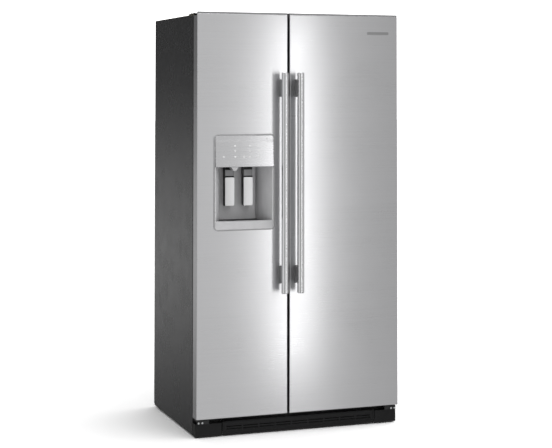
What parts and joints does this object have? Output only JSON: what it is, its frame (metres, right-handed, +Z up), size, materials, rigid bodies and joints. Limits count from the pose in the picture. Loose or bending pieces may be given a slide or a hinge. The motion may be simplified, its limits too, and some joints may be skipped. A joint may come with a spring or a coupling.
{
  "type": "side by side refrigerator",
  "caption": "Side by side refrigerator: narrow freezer door with ice and water dispenser, wider fridge door, tall bar handles, drawers, bins and shelves inside.",
  "frame": {"origin": "on the floor, at the centre of the overall bounding box (doors, handles and cabinet)", "axes": "+Z up, the doors face -Y, +X to the right of someone facing the doors"},
  "size_m": [0.908, 0.738, 1.765],
  "materials": {
    "bar_steel": "polished brushed tube",
    "black_plastic": "black, fine grain",
    "black_steel": "black enamel",
    "charcoal_steel": "textured charcoal paint",
    "chrome_trim": "bright",
    "clear_plastic": "clear moulded",
    "copper_grey": "bare fins and tubes",
    "dispenser_grey": "metallic grey plastic",
    "foam": "rigid foam, matt",
    "galvanised": "bare galvanised sheet",
    "grey_plastic": "mid grey, satin",
    "inner_white": "moulded white, satin",
    "light_diffuser": "frosted diffuser",
    "liner_white": "moulded white",
    "panel_silver": "metallic silver plastic",
    "seal_grey": "soft grey seal",
    "shelf_glass": "tempered glass in a white rim",
    "stainless": "brushed, soft sheen",
    "white_wire": "white coated wire",
    "zinc": "zinc plated"
  },
  "bodies": {
    "cabinet": {"cabinet_shell": "charcoal_steel", "insulation": "foam", "freezer_liner": "liner_white", "fridge_liner": "liner_white", "back_panel": "galvanised", "machine_cover": "galvanised", "base_frame": "black_steel", "base_grille": "black_plastic", "compressor": "black_steel", "condenser": "copper_grey", "fan_shroud": "black_plastic", "motors": "zinc", "drain_pan": "black_plastic", "evaporator": "copper_grey", "evaporator_cover": "inner_white", "ice_maker": "grey_plastic", "ice_bin": "inner_white", "freezer_shelves": "white_wire", "fridge_shelves": "shelf_glass", "air_tower": "inner_white", "led_lights": "light_diffuser", "water_filter": "inner_white", "water_valve": "grey_plastic", "cord_gland": "black_plastic", "top_hinges": "black_steel", "bottom_hinges": "black_steel", "levelling_legs": "black_steel"},
    "freezer_door": {"freezer_door_skin": "stainless", "freezer_door_inner": "inner_white", "freezer_door_gasket": "seal_grey", "freezer_door_end_caps": "grey_plastic", "freezer_handle_bar": "bar_steel", "freezer_handle_mounts": "grey_plastic", "freezer_door_bins": "clear_plastic", "dispenser_housing": "dispenser_grey", "dispenser_panel": "panel_silver", "drip_grille": "dispenser_grey", "water_spout": "chrome_trim"},
    "fridge_door": {"fridge_door_skin": "stainless", "fridge_door_inner": "inner_white", "fridge_door_gasket": "seal_grey", "fridge_door_end_caps": "grey_plastic", "fridge_handle_bar": "bar_steel", "fridge_handle_mounts": "grey_plastic", "fridge_door_bins": "clear_plastic", "dairy_compartment": "inner_white"},
    "dairy_lid": {"dairy_lid": "clear_plastic"},
    "ice_paddle": {"ice_paddle": "panel_silver"},
    "water_paddle": {"water_paddle": "panel_silver"},
    "chute_flap": {"chute_flap": "black_plastic"},
    "freezer_basket_upper": {"freezer_basket_upper": "inner_white"},
    "freezer_basket_lower": {"freezer_basket_lower": "inner_white"},
    "crisper_upper": {"crisper_upper": "clear_plastic"},
    "crisper_lower": {"crisper_lower": "clear_plastic"},
    "evaporator_fan": {"evaporator_fan": "inner_white"},
    "condenser_fan": {"condenser_fan": "black_plastic"},
    "ice_auger": {"ice_auger": "zinc"},
    "ice_maker_arm": {"ice_maker_arm": "zinc"},
    "front_rollers": {"front_rollers": "black_plastic"},
    "rear_rollers": {"rear_rollers": "black_plastic"}
  },
  "joints": [
    {"name": "freezer_door_hinge", "type": "hinge", "parent": "cabinet", "child": "freezer_door", "pos_m": [-0.438, -0.273, 0.9], "axis": [0, 0, -1], "range_deg": [0, 125]},
    {"name": "fridge_door_hinge", "type": "hinge", "parent": "cabinet", "child": "fridge_door", "pos_m": [0.438, -0.273, 0.9], "axis": [0, 0, 1], "range_deg": [0, 125]},
    {"name": "dairy_lid_hinge", "type": "hinge", "parent": "fridge_door", "child": "dairy_lid", "pos_m": [0.202, -0.238, 1.536], "axis": [1, 0, 0], "range_deg": [0, 80]},
    {"name": "ice_paddle_hinge", "type": "hinge", "parent": "freezer_door", "child": "ice_paddle", "pos_m": [-0.21, -0.228, 1.126], "axis": [1, 0, 0], "range_deg": [0, 3], "stiffness_Nm_per_rad": 0.4, "springref_deg": -5.73},
    {"name": "water_paddle_hinge", "type": "hinge", "parent": "freezer_door", "child": "water_paddle", "pos_m": [-0.292, -0.228, 1.126], "axis": [1, 0, 0], "range_deg": [0, 3], "stiffness_Nm_per_rad": 0.4, "springref_deg": -5.73},
    {"name": "chute_flap_hinge", "type": "hinge", "parent": "freezer_door", "child": "chute_flap", "pos_m": [-0.215, -0.246, 1.195], "axis": [1, 0, 0], "range_deg": [0, 41]},
    {"name": "freezer_basket_upper_slide", "type": "slide", "parent": "cabinet", "child": "freezer_basket_upper", "axis": [0, -1, 0], "range_m": [0, 0.228]},
    {"name": "freezer_basket_lower_slide", "type": "slide", "parent": "cabinet", "child": "freezer_basket_lower", "axis": [0, -1, 0], "range_m": [0, 0.15]},
    {"name": "crisper_upper_slide", "type": "slide", "parent": "cabinet", "child": "crisper_upper", "axis": [0, -1, 0], "range_m": [0, 0.228]},
    {"name": "crisper_lower_slide", "type": "slide", "parent": "cabinet", "child": "crisper_lower", "axis": [0, -1, 0], "range_m": [0, 0.15]},
    {"name": "evaporator_fan_spin", "type": "hinge", "parent": "cabinet", "child": "evaporator_fan", "pos_m": [-0.238, 0.281, 0.82], "axis": [0, 1, 0], "continuous": true},
    {"name": "condenser_fan_spin", "type": "hinge", "parent": "cabinet", "child": "condenser_fan", "pos_m": [0.014, 0.25, 0.19], "axis": [1, 0, 0], "continuous": true},
    {"name": "ice_auger_spin", "type": "hinge", "parent": "cabinet", "child": "ice_auger", "pos_m": [-0.238, 0.1, 1.38], "axis": [0, 1, 0], "continuous": true},
    {"name": "ice_maker_arm_hinge", "type": "hinge", "parent": "cabinet", "child": "ice_maker_arm", "pos_m": [-0.148, 0.006, 1.59], "axis": [1, 0, 0], "range_deg": [0, 10]},
    {"name": "front_rollers_spin", "type": "hinge", "parent": "cabinet", "child": "front_rollers", "pos_m": [0, -0.17, 0.023], "axis": [1, 0, 0], "continuous": true},
    {"name": "rear_rollers_spin", "type": "hinge", "parent": "cabinet", "child": "rear_rollers", "pos_m": [0, 0.33, 0.02], "axis": [1, 0, 0], "continuous": true}
  ],
  "couplings": [
    {"joint": "freezer_basket_upper_slide", "follows": "freezer_door_hinge", "m_per_rad": 0.104},
    {"joint": "freezer_basket_lower_slide", "follows": "freezer_door_hinge", "m_per_rad": 0.068},
    {"joint": "crisper_upper_slide", "follows": "fridge_door_hinge", "m_per_rad": 0.104},
    {"joint": "crisper_lower_slide", "follows": "fridge_door_hinge", "m_per_rad": 0.068},
    {"joint": "chute_flap_hinge", "follows": "ice_paddle_hinge", "ratio": 13.5}
  ]
}
